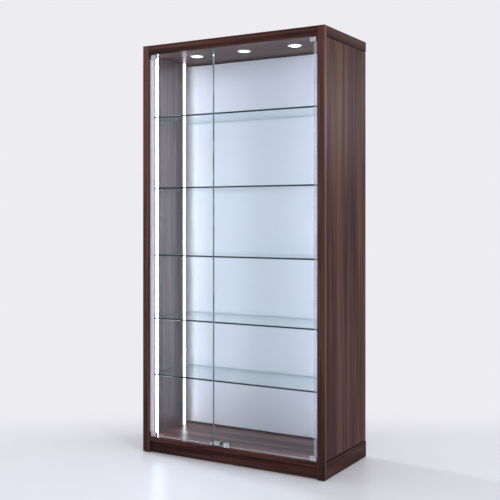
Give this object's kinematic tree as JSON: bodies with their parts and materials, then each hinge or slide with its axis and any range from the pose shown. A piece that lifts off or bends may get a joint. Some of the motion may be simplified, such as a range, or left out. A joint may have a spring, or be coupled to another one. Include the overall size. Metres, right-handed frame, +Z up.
{
  "type": "display tower",
  "caption": "Tall walnut display cabinet with pivoting glass doors, glass shelves, lit corner uprights and downlights.",
  "frame": {"origin": "on the floor under the middle of the cabinet", "axes": "+Z up, +X to the right as seen from the doors, +Y from the doors to the back"},
  "size_m": [0.98, 0.46, 1.98],
  "materials": {
    "walnut": "satin veneer",
    "softwood": "sawn",
    "white_panel": "smooth laminate",
    "hardboard": "smooth",
    "aluminium": "satin anodised",
    "opal": "frosted",
    "downlight_rim": "white enamel",
    "grey_plastic": "moulded",
    "tape": "flexible circuit",
    "driver_case": "moulded",
    "rubber": "matt",
    "nylon": "moulded",
    "door_glass": "polished edges",
    "shelf_glass": "polished edges",
    "nickel": "satin nickel",
    "steel": "zinc plated",
    "chrome": "polished",
    "dark_plastic": "moulded"
  },
  "bodies": {
    "cabinet": {"top_rail": "walnut", "top_slab": "walnut", "bottom_panel": "walnut", "plinth_front": "walnut", "plinth_back": "walnut", "stile_left": "walnut", "side_panel_left": "walnut", "plinth_side_left": "walnut", "stile_right": "walnut", "side_panel_right": "walnut", "plinth_side_right": "walnut", "plinth_brace": "softwood", "plinth_blocks": "softwood", "back_cleat_left": "softwood", "back_cleat_right": "softwood", "back_panel": "white_panel", "rear_board": "hardboard", "base_glides": "nylon", "cable_grommet": "rubber", "led_driver": "driver_case", "led_tapes": "tape", "led_end_caps": "grey_plastic", "downlight_lenses": "opal", "shelf_pegs": "nickel", "pivot_bushes": "nylon", "latch_bodies": "dark_plastic", "latch_screws": "steel", "led_channel_front_left": "aluminium", "led_diffuser_front_left": "opal", "led_channel_front_right": "aluminium", "led_diffuser_front_right": "opal", "led_channel_back_left": "aluminium", "led_diffuser_back_left": "opal", "led_channel_back_right": "aluminium", "led_diffuser_back_right": "opal", "downlight_left": "downlight_rim", "downlight_centre": "downlight_rim", "downlight_right": "downlight_rim", "shelf_1": "shelf_glass", "shelf_2": "shelf_glass", "shelf_3": "shelf_glass", "shelf_4": "shelf_glass", "shelf_5": "shelf_glass"},
    "left_door": {"door_glass_left": "door_glass", "pivot_clip_bottom_left": "nickel", "pivot_clip_top_left": "nickel", "clamp_pads_left": "rubber", "clamp_screws_left": "steel", "strike_clip_left": "nickel"},
    "right_door": {"door_glass_right": "door_glass", "pivot_clip_bottom_right": "nickel", "pivot_clip_top_right": "nickel", "clamp_pads_right": "rubber", "clamp_screws_right": "steel", "strike_clip_right": "nickel", "lock_body": "nickel"},
    "lock_barrel": {"lock_cylinder": "chrome", "lock_cam": "steel"},
    "left_plunger": {"latch_plunger_left": "steel"},
    "right_plunger": {"latch_plunger_right": "steel"}
  },
  "joints": [
    {"name": "left_door_swing", "type": "hinge", "parent": "cabinet", "child": "left_door", "pos_m": [-0.44, -0.2165, 0.078], "axis": [0, 0, -1], "range_deg": [0, 110]},
    {"name": "right_door_swing", "type": "hinge", "parent": "cabinet", "child": "right_door", "pos_m": [0.44, -0.2165, 0.078], "axis": [0, 0, 1], "range_deg": [0, 110]},
    {"name": "lock_turn", "type": "hinge", "parent": "right_door", "child": "lock_barrel", "pos_m": [-0.01758, -0.229, 0.0902], "axis": [0, 1, 0], "range_deg": [0, 90]},
    {"name": "left_touch", "type": "slide", "parent": "cabinet", "child": "left_plunger", "axis": [0, 1, 0], "range_m": [0, 0.003], "stiffness_N_per_m": 600, "springref_m": -0.002},
    {"name": "right_touch", "type": "slide", "parent": "cabinet", "child": "right_plunger", "axis": [0, 1, 0], "range_m": [0, 0.003], "stiffness_N_per_m": 600, "springref_m": -0.002}
  ]
}
